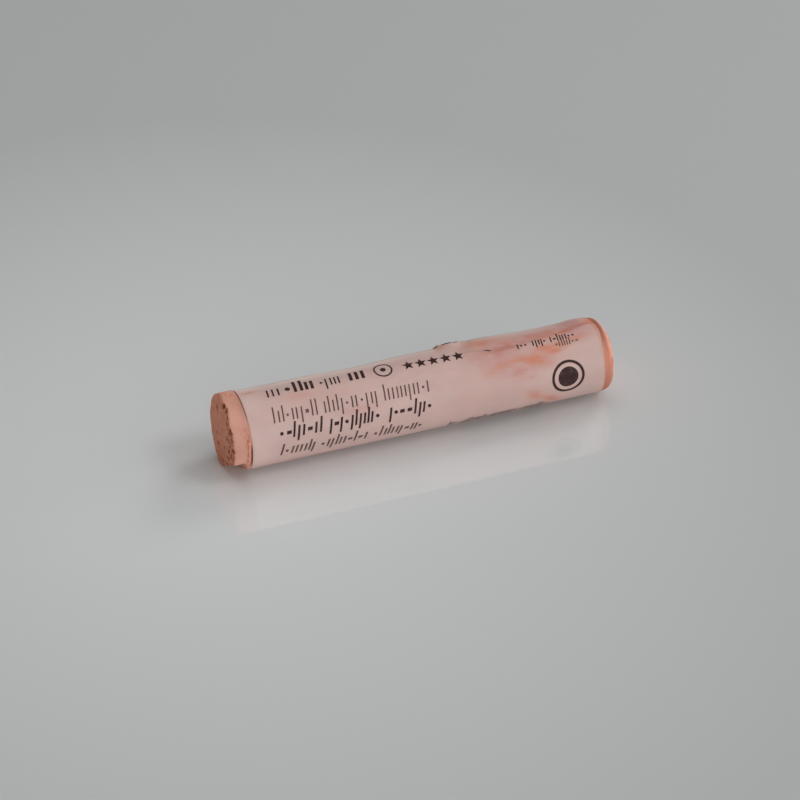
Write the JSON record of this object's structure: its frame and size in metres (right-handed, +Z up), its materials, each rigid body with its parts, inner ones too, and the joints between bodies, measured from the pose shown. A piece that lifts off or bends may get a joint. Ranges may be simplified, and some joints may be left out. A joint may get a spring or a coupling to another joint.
{
  "type": "soft pastel stick",
  "caption": "Round stick of pressed soft pastel, part used, in a rolled paper label with a torn lap; bare pastel stands out at both ends.",
  "frame": {"origin": "middle of the lying stick's box, on the surface it rests on", "axes": "+X along the stick, from the broken end to the far end; +Z up; the printed side faces -Y and up"},
  "size_m": [0.0596, 0.0112, 0.0114],
  "materials": {
    "pastel": "dead matt, chalky, crumbly where it broke",
    "paper": "thin satin label paper, printed and smudged with pastel dust"
  },
  "bodies": {
    "root": {"pastel_stick": "pastel", "paper_wrapper": "paper"}
  },
  "joints": []
}
